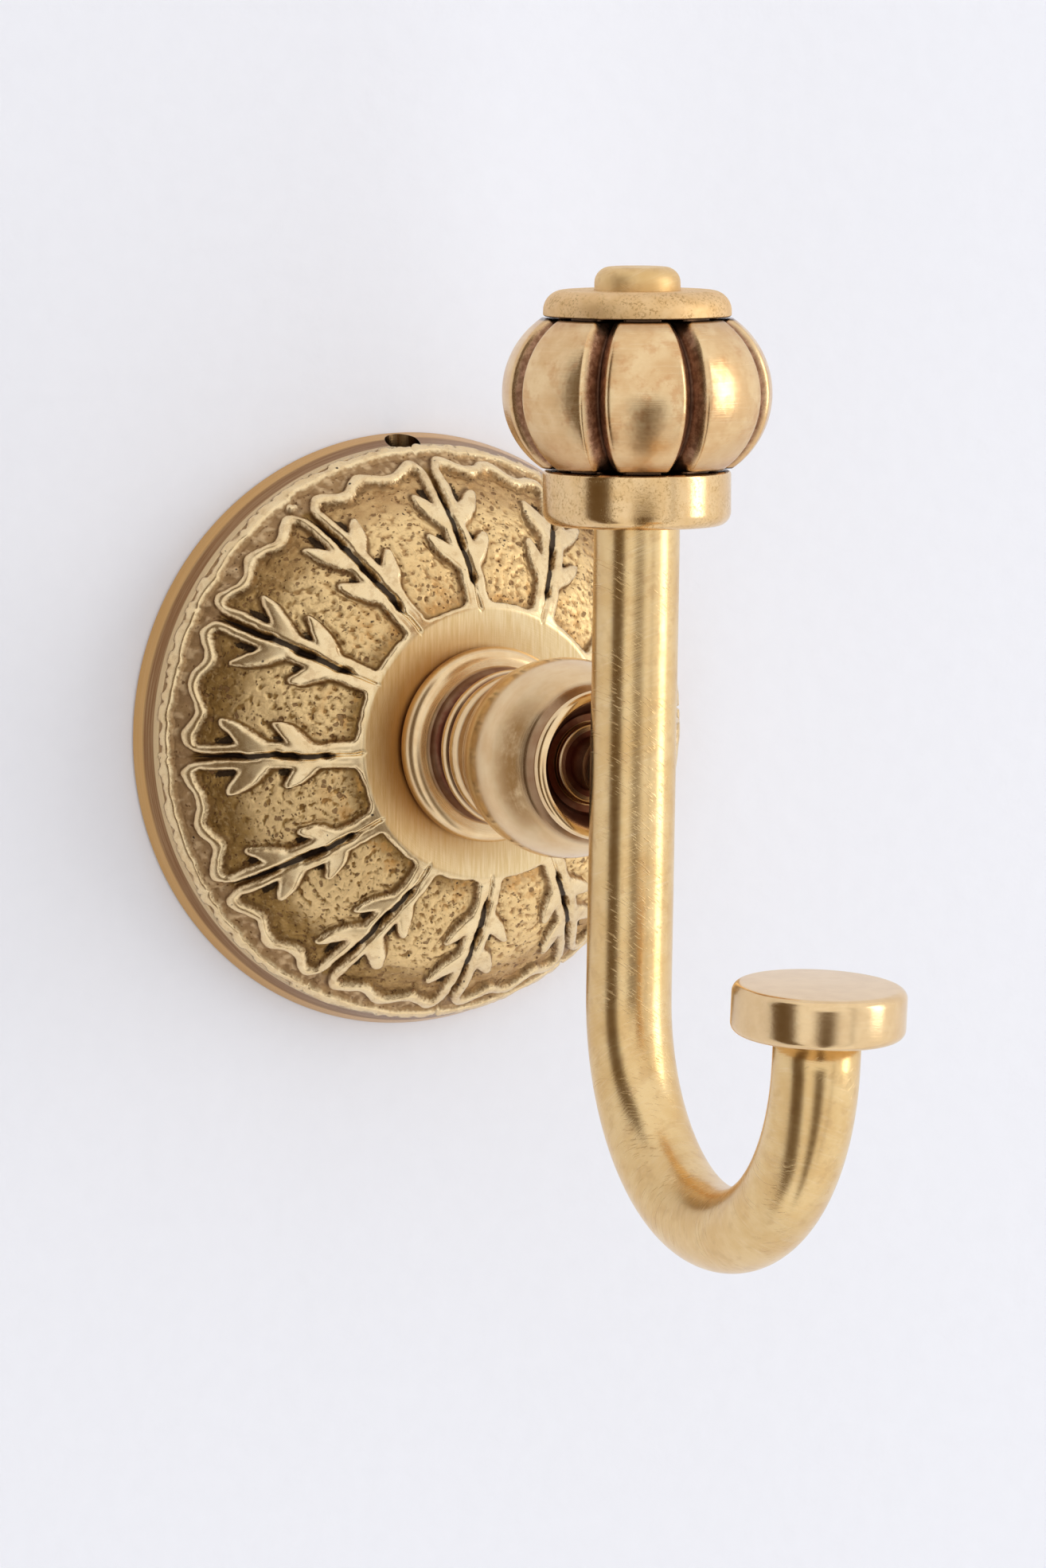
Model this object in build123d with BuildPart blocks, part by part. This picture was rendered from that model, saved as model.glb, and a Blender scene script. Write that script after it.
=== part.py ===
from build123d import *
from math import asin, cos, degrees, pi, radians, sin, sqrt, tan
import os

# Cast and turned brass bath hook for one towel or robe, fixed to a wall.
# The wall is the plane y = 0, the hook comes off it along -Y, +Z is up,
# and the origin is the centre of the rosette's back. Sizes are in millimetres.

# Rosette, a hollow cast dome
rosette_d = 69.5
rim_side = 1.8           # depth of the plain band round the edge
rim_draft = 0.5          # how much that band narrows towards the front
rim_bevel = 1.7          # depth of the bevel in front of the band
rim_inset = 1.3          # how far the bevel comes in, to where the dome starts
rim_step = 0.45          # depth of the small step from there to the dome
rim_wall = 4.0
dome_crown = 24.95       # the dome's ball would reach this far from the wall
dome_wall = 2.4
boss_d = 30.4            # flat turned ring round the post
boss_drop = 2.45         # how far that ring lies under the crown
floor_wall = 4.0         # metal behind that ring

# Ornament on the rosette
petals = 12
ornament_turn = 2.5      # the rosette sits turned a little on its plate
relief = 0.7             # height of the ridges
relief_root = 0.4        # how deep a ridge is sunk into the ground
vein_gap = 0.7           # groove between neighbouring petals
stem_w = 1.05            # ridge along each side of a petal
hem_w = 0.85             # ridge along its wavy outer edge
petal_out_inset = 2.2    # from the rim's bevel in to the middle of that edge
petal_wave = 0.35        # how far it swings to either side
petal_crest = 11.1       # degrees from one crest of it to the next
petal_lap = 0.5          # how far the petals run in under the flat ring
petal_in_hem = 1.2
petal_corner = 1.5
stem_corner = 0.8
barb_root_w = 2.2
barb_tip_w = 0.8
# a barb's root and tip in from the petal's outer edge, and its tip beside the vein
outer_barb = (5.7, 3.3, 4.0)
inner_barb = (10.3, 7.85, 3.5)
bead_ring_inset = 0.8    # ridge between the petals and the rim
bead_ring_w = 1.0
bead_ring_h = 0.5

# Wall plate and the screws that hold the pieces together
plate_gap = 0.4          # between the plate and the rosette's rim
plate_t = 4.8
plate_edge = 0.5
plate_hole_d = 4.5
plate_sink_d = 9.0
plate_spacing = 36.0
groove_depth = 1.6
grub_d = 4.0
grub_inset = 0.5         # how far its outer end lies under the rim
grub_depth = 2.6         # its distance from the wall
grub_tip_d = 1.3
grub_hex = 2.0
grub_hex_depth = 1.8
tie_d = 6.0
tie_head_d = 10.5
tie_head_h = 3.3
tie_head_round = 1.1
tie_tip_chamfer = 0.75
tie_hex = 4.0
tie_hex_depth = 2.2
tie_reach = 11.5         # thread inside the post
tie_hole_extra = 1.5     # drilled further than the thread reaches
washer_d = 13.0
washer_t = 1.2
bore_gap = 0.2           # clearance of the plain bores
fit = 0.05               # clearance of threads, spigots and pressed pieces

# Post, turned from bar. Each length along it starts where the last one ends
flange_r = 11.3
flange_bead_r = 1.85
flange_bead_rise = 1.2   # from the flat ring to the middle of the flange's bead
fillet_l = 0.65
cove_l = 2.4
cove_edge_r = 9.0
cove_low_r = 7.7
ring_r = 9.05
ring_l = 1.8
quirk = 0.35             # fine square groove beside each ring
second_ring_r = 8.85
second_ring_l = 2.2
ball_gap = 0.4
ball_back_l = 10.0       # from the ball's back to its middle
ball_front_l = 8.2
ball_r = 11.4
ball_swell = 14.3        # radius of the ball's outline
throat_l = 0.55
lip_r = 8.55
lip_bead_r = 0.95
cup_l = 2.7              # from the middle of the lip's bead down to the cup's floor
cup_floor_r = 5.9
neck_l = 1.8             # from the lip to the rod
neck_ring_r = 4.35
neck_ring_h = 0.9
neck_r = 3.2
neck_flare_r = 3.9
spigot_d = 5.0
spigot_l = 4.0

# Hook, one bent rod
rod_d = 9.6
button_h = 2.6           # how far the rod stands out of the finial
rod_top_round = 1.8
set_height = 27.0        # the rod is set back from here down
set_angle = 1.9
set_radius = 100.0
bend_radius = 22.8
bend_height = -26.1      # height of the bend's centre
tip_lean = 5.6           # how far the tip leans away from the wall
tip_straight = 3.4
tip_spigot_d = 6.0
tip_spigot_l = 3.2

# Finial, three pieces threaded on the rod
finial_d = 21.0
collar_bottom = 27.5
collar_h = 6.2
collar_round = 1.6
collar_edge = 0.5
melon_r = 15.05
melon_arc_r = 10.1
melon_h = 17.1
melon_ribs = 8
melon_groove_w = 2.9
melon_groove_depth = 1.8
cap_h = 2.9
cap_round = 2.3
melon_seam = 0.25        # shadow gap at each end of the melon
melon_seat_inset = 1.6   # width of that gap

# Disc on the tip
disc_d = 19.05
disc_t = 5.5
disc_edge = 1.1

# Sizes that follow from the ones above
rosette_r = rosette_d / 2
rim_inner_r = rosette_r - rim_wall
rim_front = rim_side + rim_bevel
dome_edge_r = rosette_r - rim_inset
dome_rise = dome_crown - rim_front - rim_step
dome_r = (dome_edge_r**2 + dome_rise**2) / (2 * dome_rise)
dome_sink = dome_r - dome_crown          # how far behind the wall the ball's centre lies
inner_dome_r = dome_r - dome_wall
bead_ring_r = dome_edge_r - bead_ring_inset
petal_out_r = dome_edge_r - petal_out_inset
petal_in_r = boss_d / 2 - petal_lap
boss_depth = dome_crown - boss_drop
floor_depth = boss_depth - floor_wall
plate_r = rim_inner_r - plate_gap
rod_r = rod_d / 2
flange_bead_mid = boss_depth + flange_bead_rise
cove_start = flange_bead_mid + flange_bead_r + fillet_l
cove_end = cove_start + cove_l
ring_end = cove_end + ring_l
second_ring_end = ring_end + second_ring_l
ball_start = second_ring_end + ball_gap
ball_mid = ball_start + ball_back_l
ball_end = ball_mid + ball_front_l
lip_mid = ball_end + throat_l + lip_bead_r
cup_depth = lip_mid - cup_l
rod_back = lip_mid + lip_bead_r + neck_l
# the rod's axis at the post and, past the setback, at the finial
setback_end_z = set_height - set_radius * sin(radians(set_angle))
setback_in = set_radius * (1 - cos(radians(set_angle)))
finial_reach = rod_back + rod_r + setback_end_z * tan(radians(set_angle)) + setback_in
finial_r = finial_d / 2
melon_bottom = collar_bottom + collar_h
melon_mid = melon_bottom + melon_h / 2
melon_in = melon_r - melon_arc_r         # from its axis to the centre of its outline's arc
cap_bottom = melon_bottom + melon_h
rod_top = cap_bottom + cap_h + button_h
rod_bore_r = rod_r + fit
petal_angle = 360 / petals


def ball_depth(radius, ball):
    """Distance from the wall of a ball about the dome's centre, at a radius from the axis."""
    return sqrt(ball**2 - radius**2) - dome_sink


# Drawing plane for what is turned about the Y axis: x is the distance from
# the wall and y the height. The hook's rod is drawn on it too.
side = Plane(origin=(0, 0, 0), x_dir=(0, -1, 0), z_dir=(-1, 0, 0))
finial_plane = Plane.XZ.offset(finial_reach)
finial_axis = Axis((0, -finial_reach, 0), (0, 0, 1))


# Petal: a raised frame with two pairs of barbs, drawn with its middle along
# +X on a flat bench. It is the part of an upright cut-out that lies between
# two balls about the dome's centre.
def beside_vein(along, beside):
    """Point at a distance along the vein on the petal's left, and beside it in the petal."""
    half = radians(petal_angle / 2)
    return (along * cos(half) + beside * sin(half), along * sin(half) - beside * cos(half))


def hem_point(angle, mean_r):
    """Point of the wavy outer edge: three crests over one petal."""
    r = mean_r + petal_wave * cos(2 * pi * angle / petal_crest)
    return (r * cos(radians(angle)), r * sin(radians(angle)))


def petal_outline(inset, out_r, in_r, corner):
    """Closed outline of a petal, whose sides lie a distance in from the veins."""
    out_angle = petal_angle / 2 - degrees(asin(inset / out_r))
    left_out = beside_vein(sqrt(out_r**2 - inset**2), inset)
    left_in = beside_vein(sqrt(in_r**2 - inset**2), inset)
    right_out = (left_out[0], -left_out[1])
    right_in = (left_in[0], -left_in[1])
    steps = 8
    inner_steps = [out_angle * (1 - 2 * i / steps) for i in range(1, steps)]
    hem = [left_out] + [hem_point(a, out_r) for a in inner_steps] + [right_out]
    with BuildSketch() as outline:
        with BuildLine():
            Line(left_in, left_out)
            Spline(*hem)
            Line(right_out, right_in)
            ThreePointArc(right_in, (in_r, 0), left_in)
        make_face()
        fillet(outline.vertices().group_by(Axis.X)[-1], radius=corner)
    return outline.sketch


def barb(root, tip, tip_side):
    """Tapered barb from the stem towards the petal's middle and the rim."""
    start = Vector(petal_out_r - root, (vein_gap + stem_w) / 2)
    end = Vector(petal_out_r - tip, tip_side)
    across = (end - start).normalized().rotate(Axis.Z, 90)
    corners = [
        start + across * barb_root_w / 2,
        end + across * barb_tip_w / 2,
        end - across * barb_tip_w / 2,
        start - across * barb_root_w / 2,
    ]
    return [beside_vein(corner.X, corner.Y) for corner in corners]


with BuildSketch() as petal_frame:
    add(petal_outline(vein_gap / 2, petal_out_r, petal_in_r, petal_corner))
    add(
        petal_outline(
            vein_gap / 2 + stem_w, petal_out_r - hem_w, petal_in_r + petal_in_hem, stem_corner
        ),
        mode=Mode.SUBTRACT,
    )
    Polygon(*barb(*outer_barb), align=None)
    Polygon(*barb(*inner_barb), align=None)
    mirror(about=Plane.XZ)

with BuildPart() as ridge_layer:
    with Locations((0, 0, -dome_sink)):
        Sphere(dome_r + relief)
        Sphere(dome_r - relief_root, mode=Mode.SUBTRACT)

with BuildPart() as petal:
    add(petal_frame.sketch)
    extrude(amount=dome_r)
    add(ridge_layer.part, mode=Mode.INTERSECT)

# Rosette: a hollow dome turned about the Y axis, with the petals raised on it
with BuildPart() as rosette:
    with BuildSketch(side):
        with BuildLine():
            ring_out = bead_ring_r + bead_ring_w / 2
            ring_in = bead_ring_r - bead_ring_w / 2
            crest_out = ring_out - bead_ring_h / 2
            crest_in = ring_in + bead_ring_h / 2
            crest_ball = dome_r + bead_ring_h
            boss_r = boss_d / 2
            mid_r = (ring_in + boss_r) / 2
            Polyline(
                (0, rim_inner_r),
                (0, rosette_r),
                (rim_side, rosette_r - rim_draft),
                (rim_front, dome_edge_r),
                (ball_depth(ring_out, dome_r), ring_out),
                (ball_depth(crest_out, crest_ball), crest_out),
                (ball_depth(crest_in, crest_ball), crest_in),
                (ball_depth(ring_in, dome_r), ring_in),
            )
            ThreePointArc(
                (ball_depth(ring_in, dome_r), ring_in),
                (ball_depth(mid_r, dome_r), mid_r),
                (ball_depth(boss_r, dome_r), boss_r),
            )
            floor_r = sqrt(inner_dome_r**2 - (floor_depth + dome_sink) ** 2)
            inner_mid_r = (rim_inner_r + floor_r) / 2
            bore_r = tie_d / 2 + bore_gap
            Polyline(
                (ball_depth(boss_r, dome_r), boss_r),
                (boss_depth, boss_r),
                (boss_depth, bore_r),
                (floor_depth, bore_r),
                (floor_depth, floor_r),
            )
            ThreePointArc(
                (floor_depth, floor_r),
                (ball_depth(inner_mid_r, inner_dome_r), inner_mid_r),
                (ball_depth(rim_inner_r, inner_dome_r), rim_inner_r),
            )
            Line((ball_depth(rim_inner_r, inner_dome_r), rim_inner_r), (0, rim_inner_r))
        make_face()
    revolve(axis=Axis.Y)
    with Locations(Plane.XZ):
        with PolarLocations(0, petals, start_angle=ornament_turn + petal_angle / 2):
            add(petal.part)
    # tapped hole for the grub screw, at the top of the rim
    turned_up = (-sin(radians(ornament_turn)), 0, cos(radians(ornament_turn)))
    grub_plane = Plane(origin=(0, -grub_depth, 0), x_dir=(0, -1, 0), z_dir=turned_up)
    with BuildSketch(grub_plane.offset(rim_inner_r - rim_wall / 2)):
        Circle(grub_d / 2 + fit)
    extrude(amount=rim_wall * 2, mode=Mode.SUBTRACT)

# Wall plate: a disc that the rosette slips over, with two holes for the
# screws in the wall and a groove round its edge for the grub screw
with BuildPart() as wall_plate:
    with BuildSketch(side):
        with BuildLine():
            Polyline(
                (0, 0),
                (0, plate_r),
                (grub_depth - groove_depth, plate_r),
                (grub_depth, plate_r - groove_depth),
                (grub_depth + groove_depth, plate_r),
                (plate_t - plate_edge, plate_r),
                (plate_t, plate_r - plate_edge),
                (plate_t, 0),
                close=True,
            )
        make_face()
    revolve(axis=Axis.Y)
    with Locations(Plane.XZ.offset(plate_t)):
        with GridLocations(plate_spacing, 0, 2, 1):
            CounterSinkHole(plate_hole_d / 2, plate_sink_d / 2)

# Grub screw: a cone-pointed socket screw through the rim into that groove
with BuildPart() as grub_screw:
    grub_top = dome_edge_r - grub_inset
    grub_seat = plate_r - groove_depth + grub_tip_d / 2 + fit
    grub_l = grub_top - grub_seat
    grub_cone = (grub_d - grub_tip_d) / 2
    with BuildSketch(grub_plane.offset(grub_top)):
        Circle(grub_d / 2)
    extrude(amount=-grub_l)
    chamfer(grub_screw.edges().sort_by(Axis.Z)[0], length=grub_cone - fit)
    with BuildSketch(grub_plane.offset(grub_top)):
        RegularPolygon(grub_hex / 2, 6, major_radius=False)
    extrude(amount=-grub_hex_depth, mode=Mode.SUBTRACT)

# Washer and tie screw: they draw the post to the rosette from inside
with BuildPart() as tie_washer:
    with BuildSketch(Plane.XZ.offset(floor_depth)):
        Circle(washer_d / 2)
        Circle(tie_d / 2 + bore_gap, mode=Mode.SUBTRACT)
    extrude(amount=-washer_t)

with BuildPart() as tie_screw:
    head_front = floor_depth - washer_t
    with BuildSketch(Plane.XZ.offset(head_front)):
        Circle(tie_head_d / 2)
    extrude(amount=-tie_head_h)
    fillet(tie_screw.edges().sort_by(Axis.Y)[-1], radius=tie_head_round)
    with BuildSketch(Plane.XZ.offset(head_front)):
        Circle(tie_d / 2)
    extrude(amount=washer_t + floor_wall + tie_reach)
    chamfer(tie_screw.edges().sort_by(Axis.Y)[0], length=tie_tip_chamfer)
    with BuildSketch(Plane.XZ.offset(head_front - tie_head_h)):
        RegularPolygon(tie_hex / 2, 6, major_radius=False)
    extrude(amount=tie_hex_depth, mode=Mode.SUBTRACT)

# Hook: one round rod, straight through the finial, set back a little under
# it, bent into a J and ended by a spigot for the disc
with BuildPart() as hook_rod:
    with BuildLine(side) as rod_path:
        straight = Line((finial_reach, rod_top), (finial_reach, set_height))
        setback = JernArc(straight @ 1, (0, -1), set_radius, -set_angle)
        bend_start_z = bend_height + bend_radius * sin(radians(set_angle))
        shank_drop = setback_end_z - bend_start_z
        shank_in = setback_in + shank_drop * tan(radians(set_angle))
        setback_end = (finial_reach - setback_in, setback_end_z)
        bend_start = (finial_reach - shank_in, bend_start_z)
        shank = Line(setback_end, bend_start)
        heading = (-sin(radians(set_angle)), -cos(radians(set_angle)))
        bend = JernArc(bend_start, heading, bend_radius, 180 + set_angle - tip_lean)
        bend_centre_x = finial_reach - shank_in + bend_radius * cos(radians(set_angle))
        tip_x = bend_centre_x + bend_radius * cos(radians(tip_lean))
        tip_z = bend_height - bend_radius * sin(radians(tip_lean))
        lean_x = sin(radians(tip_lean))
        lean_z = cos(radians(tip_lean))
        tip_end = (tip_x + tip_straight * lean_x, tip_z + tip_straight * lean_z)
        tip_run = Line((tip_x, tip_z), tip_end)
    with BuildSketch(Plane.XY.offset(rod_top).shift_origin((0, -finial_reach, rod_top))):
        Circle(rod_r)
    sweep()
    fillet(hook_rod.edges().sort_by(Axis.Z)[-1], radius=rod_top_round)
    # cross hole for the post's spigot
    with BuildSketch(Plane.XZ.offset(rod_back - rod_r)):
        Circle(spigot_d / 2 + fit)
    extrude(amount=rod_r + spigot_l + fit, mode=Mode.SUBTRACT)
    # spigot at the tip
    tip_plane = Plane(
        origin=(0, -tip_end[0], tip_end[1]), x_dir=(1, 0, 0), z_dir=(0, -lean_x, lean_z)
    )
    with BuildSketch(tip_plane):
        Circle(tip_spigot_d / 2)
    extrude(amount=tip_spigot_l)

# Post: flange, cove, two rings, ball and cupped lip, turned in one piece with
# the neck that is brazed into the rod
with BuildPart() as post:
    with BuildSketch(side):
        with BuildLine():
            bead_mid_r = flange_r - flange_bead_r
            seat_r = bead_mid_r + sqrt(flange_bead_r**2 - (flange_bead_mid - boss_depth) ** 2)
            bead_front = flange_bead_mid + flange_bead_r
            swell_drop = ball_swell - ball_r
            ball_back_r = sqrt(ball_swell**2 - (ball_mid - ball_start) ** 2) - swell_drop
            ball_front_r = sqrt(ball_swell**2 - (ball_end - ball_mid) ** 2) - swell_drop
            lip_mid_r = lip_r - lip_bead_r
            Polyline((boss_depth, 0), (boss_depth, seat_r))
            ThreePointArc(
                (boss_depth, seat_r), (flange_bead_mid, flange_r), (bead_front, bead_mid_r)
            )
            Line((bead_front, bead_mid_r), (cove_start, cove_edge_r))
            ThreePointArc(
                (cove_start, cove_edge_r),
                ((cove_start + cove_end) / 2, cove_low_r),
                (cove_end, cove_edge_r - quirk),
            )
            ring_mid = (cove_end + ring_end) / 2
            ThreePointArc(
                (cove_end, cove_edge_r - quirk), (ring_mid, ring_r), (ring_end, cove_edge_r - quirk)
            )
            second_mid = (ring_end + second_ring_end) / 2
            ThreePointArc(
                (ring_end, cove_edge_r - quirk),
                (second_mid, second_ring_r),
                (second_ring_end, second_ring_r - quirk),
            )
            Polyline(
                (second_ring_end, second_ring_r - quirk),
                (second_ring_end, ball_back_r),
                (ball_start, ball_back_r),
            )
            ThreePointArc((ball_start, ball_back_r), (ball_mid, ball_r), (ball_end, ball_front_r))
            lip_back = lip_mid - lip_bead_r
            lip_front = lip_mid + lip_bead_r
            Line((ball_end, ball_front_r), (lip_back, lip_mid_r))
            ThreePointArc((lip_back, lip_mid_r), (lip_mid, lip_r), (lip_front, lip_mid_r))
            neck_floor = cup_depth + neck_ring_h
            neck_end = rod_back + rod_r / 2
            Polyline(
                (lip_front, lip_mid_r),
                (lip_mid, lip_mid_r - lip_bead_r),
                (cup_depth, cup_floor_r),
                (cup_depth, neck_ring_r),
                (neck_floor, neck_ring_r),
                (neck_floor, neck_r),
                (rod_back, neck_flare_r),
                (neck_end, neck_flare_r),
                (neck_end, 0),
                (boss_depth, 0),
            )
        make_face()
    revolve(axis=Axis.Y)
    # blind tapped hole for the tie screw
    with BuildSketch(Plane.XZ.offset(boss_depth)):
        Circle(tie_d / 2 + fit)
    extrude(amount=tie_reach + tie_hole_extra, mode=Mode.SUBTRACT)
    # the neck's end is coped to the rod, and its spigot goes into the rod
    lean_origin = (0, -(rod_back + rod_r), 0)
    rod_line = Plane(origin=lean_origin, x_dir=(1, 0, 0), z_dir=(0, -heading[0], heading[1]))
    with BuildSketch(rod_line.offset(-rod_d)):
        Circle(rod_bore_r)
    extrude(amount=2 * rod_d, mode=Mode.SUBTRACT)
    with BuildSketch(Plane.XZ.offset(cup_depth)):
        Circle(spigot_d / 2)
    extrude(amount=rod_back + spigot_l - cup_depth)

# Collar under the finial
with BuildPart() as finial_collar:
    with BuildSketch(Plane.XY.offset(collar_bottom)):
        with Locations((0, -finial_reach)):
            Circle(finial_r)
            Circle(rod_bore_r, mode=Mode.SUBTRACT)
    extrude(amount=collar_h)
    rims = finial_collar.edges().filter_by(GeomType.CIRCLE)
    fillet(rims.group_by(Axis.Z)[0].sort_by(SortBy.RADIUS)[-1], radius=collar_round)
    rims = finial_collar.edges().filter_by(GeomType.CIRCLE)
    fillet(rims.group_by(Axis.Z)[-1].sort_by(SortBy.RADIUS)[-1], radius=collar_edge)

# V-groove between two ribs of the melon: it follows the melon's outline, and
# is made about the Z axis
with BuildPart() as melon_groove:
    with BuildSketch():
        apex = -melon_r + melon_groove_depth
        slope = melon_groove_w / 2 / melon_groove_depth
        mouth = -melon_r - melon_groove_depth
        half_mouth = (apex - mouth) * slope
        Polygon((0, apex), (-half_mouth, mouth), (half_mouth, mouth), align=None)
    revolve(axis=Axis((0, -melon_in, 0), (1, 0, 0)))
    split(bisect_by=Plane.XZ.offset(melon_in), keep=Keep.TOP)

# Melon: a turned body with those grooves milled round it
with BuildPart() as finial_melon:
    melon_low = melon_bottom + melon_seam
    melon_high = cap_bottom - melon_seam
    melon_end_r = melon_in + sqrt(melon_arc_r**2 - (melon_high - melon_mid) ** 2)
    melon_seat_r = melon_end_r - melon_seat_inset
    with BuildSketch(finial_plane):
        with BuildLine():
            Polyline(
                (melon_end_r, melon_low),
                (melon_seat_r, melon_low),
                (melon_seat_r, melon_bottom),
                (rod_bore_r, melon_bottom),
                (rod_bore_r, cap_bottom),
                (melon_seat_r, cap_bottom),
                (melon_seat_r, melon_high),
                (melon_end_r, melon_high),
            )
            ThreePointArc((melon_end_r, melon_high), (melon_r, melon_mid), (melon_end_r, melon_low))
        make_face()
    revolve(axis=finial_axis)
    with Locations((0, -finial_reach, melon_mid)):
        with PolarLocations(0, melon_ribs):
            add(melon_groove.part, mode=Mode.SUBTRACT)

# Cap over the melon
with BuildPart() as finial_cap:
    with BuildSketch(Plane.XY.offset(cap_bottom)):
        with Locations((0, -finial_reach)):
            Circle(finial_r)
            Circle(rod_bore_r, mode=Mode.SUBTRACT)
    extrude(amount=cap_h)
    rims = finial_cap.edges().filter_by(GeomType.CIRCLE)
    fillet(rims.group_by(Axis.Z)[-1].sort_by(SortBy.RADIUS)[-1], radius=cap_round)

# Disc on the tip, with a blind hole for the rod's spigot
with BuildPart() as tip_disc:
    with BuildSketch(tip_plane):
        Circle(disc_d / 2)
    extrude(amount=disc_t)
    fillet(tip_disc.edges(), radius=disc_edge)
    with BuildSketch(tip_plane):
        Circle(tip_spigot_d / 2 + fit)
    extrude(amount=tip_spigot_l + fit, mode=Mode.SUBTRACT)

pieces = {
    "rosette": rosette,
    "wall_plate": wall_plate,
    "grub_screw": grub_screw,
    "tie_washer": tie_washer,
    "tie_screw": tie_screw,
    "hook_rod": hook_rod,
    "post": post,
    "finial_collar": finial_collar,
    "finial_melon": finial_melon,
    "finial_cap": finial_cap,
    "tip_disc": tip_disc,
}
os.makedirs("parts", exist_ok=True)
for name, piece in pieces.items():
    piece.part.label = name
    export_step(piece.part, f"parts/{name}.step")
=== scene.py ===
from math import asin, atan2, cos, hypot, pi, radians, sin, sqrt, tan

import bmesh
import bpy
from mathutils import Matrix, Vector


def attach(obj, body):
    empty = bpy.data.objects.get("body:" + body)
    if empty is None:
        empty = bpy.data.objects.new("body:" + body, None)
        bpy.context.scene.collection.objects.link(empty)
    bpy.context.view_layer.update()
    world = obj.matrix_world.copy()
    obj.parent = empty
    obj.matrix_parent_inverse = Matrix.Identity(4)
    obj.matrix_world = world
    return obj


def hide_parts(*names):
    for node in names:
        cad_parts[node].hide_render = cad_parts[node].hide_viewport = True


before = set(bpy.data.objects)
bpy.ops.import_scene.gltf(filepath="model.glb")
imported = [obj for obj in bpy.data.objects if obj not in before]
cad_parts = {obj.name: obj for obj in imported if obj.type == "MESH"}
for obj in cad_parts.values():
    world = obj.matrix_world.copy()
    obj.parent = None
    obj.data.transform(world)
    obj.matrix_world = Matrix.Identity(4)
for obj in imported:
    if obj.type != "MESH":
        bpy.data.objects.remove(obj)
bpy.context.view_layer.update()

# Wall plate and the screws: a zinc-plated steel disc screwed to the wall, the
# socket screw and washer that draw the post to the rosette from inside, and
# the dark grub screw in the rim. They keep the CAD model's own shapes.
mm = 0.001


class Amount:
    """Something that varies over a piece: one output socket of a node."""

    def __init__(self, tree, socket):
        self.tree = tree
        self.socket = socket

    def maths(self, operation, *others):
        values = dict(enumerate((self, *others)))
        return make(self.tree, "ShaderNodeMath", {"operation": operation}, values)

    def __add__(self, other):
        return self.maths("ADD", other)

    __radd__ = __add__

    def __sub__(self, other):
        return self.maths("SUBTRACT", other)

    def __rsub__(self, other):
        return self * -1 + other

    def __mul__(self, other):
        return self.maths("MULTIPLY", other)

    __rmul__ = __mul__

    def __truediv__(self, other):
        return self.maths("DIVIDE", other)

    def __pow__(self, other):
        return self.maths("POWER", other)

    def __abs__(self):
        return self.maths("ABSOLUTE")

    def sine(self):
        return self.maths("SINE")

    def cosine(self):
        return self.maths("COSINE")

    def root(self):
        return self.maths("SQRT")

    def least(self, other):
        return self.maths("MINIMUM", other)

    def most(self, other):
        return self.maths("MAXIMUM", other)

    def melt(self, other, blend):
        """The greater of the two, with a rounded change from one to the other."""
        return self.maths("SMOOTH_MAX", other, blend)

    def rise(self, start, end):
        """0 before start and 1 past end, with a smooth rise between them."""
        settings = {"interpolation_type": "SMOOTHSTEP"}
        values = {"Value": self, "From Min": start, "From Max": end}
        return make(self.tree, "ShaderNodeMapRange", settings, values)

    def parts(self):
        """x, y and z of a vector."""
        return [
            make(self.tree, "ShaderNodeSeparateXYZ", {}, {"Vector": self}, out) for out in range(3)
        ]

    def scaled(self, share):
        """A vector times a number."""
        values = {0: self, "Scale": share}
        return make(self.tree, "ShaderNodeVectorMath", {"operation": "SCALE"}, values)

    def moved(self, shift):
        """A vector plus another."""
        return make(self.tree, "ShaderNodeVectorMath", {"operation": "ADD"}, {0: self, 1: shift})


def make(tree, kind, settings, values, out=0):
    """One node: its settings first, then the values or links of its sockets."""
    node = tree.nodes.new(kind)
    for name, setting in settings.items():
        setattr(node, name, setting)
    for name, value in values.items():
        if isinstance(name, int):
            socket = node.inputs[name]
        else:
            socket = next(s for s in node.inputs if s.name == name and s.enabled)
        if isinstance(value, Amount):
            tree.links.new(value.socket, socket)
        else:
            socket.default_value = value
    outputs = [s for s in node.outputs if s.enabled]
    return Amount(tree, outputs[out])


def vector(tree, x, y, z):
    return make(tree, "ShaderNodeCombineXYZ", {}, {0: x, 1: y, 2: z})


def noise(tree, at, scale, detail=2.0, rough=0.5, out=0):
    values = {"Vector": at, "Scale": scale, "Detail": detail, "Roughness": rough}
    return make(tree, "ShaderNodeTexNoise", {}, values, out)


def blend(tree, share, first, second):
    """A colour between two colours."""
    first, second = ((*c, 1) if isinstance(c, tuple) else c for c in (first, second))
    settings = {"data_type": "RGBA"}
    return make(tree, "ShaderNodeMix", settings, {"Factor": share, "A": first, "B": second})


def finish_of(name, colour_of, roughness_of, relief_of, depth):
    """A metal finish from functions of its tree that give colour, roughness and fine relief."""
    material = bpy.data.materials.new(name)
    material.use_nodes = True
    tree = material.node_tree
    shader = tree.nodes["Principled BSDF"]
    shader.inputs["Metallic"].default_value = 1
    values = {"Height": relief_of(tree), "Strength": 1.0, "Distance": depth}
    normal = make(tree, "ShaderNodeBump", {}, values)
    tree.links.new(colour_of(tree).socket, shader.inputs["Base Color"])
    tree.links.new(roughness_of(tree).socket, shader.inputs["Roughness"])
    tree.links.new(normal.socket, shader.inputs["Normal"])
    return material


def place(tree):
    """Where a point of the piece is, in millimetres."""
    return make(tree, "ShaderNodeTexCoord", {}, {}, 3).scaled(1 / mm)


def zinc_colour(tree):
    clouds = noise(tree, place(tree), 0.25, 3)
    return blend(tree, clouds.rise(0.35, 0.7), (0.52, 0.53, 0.52), (0.64, 0.64, 0.61))


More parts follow.
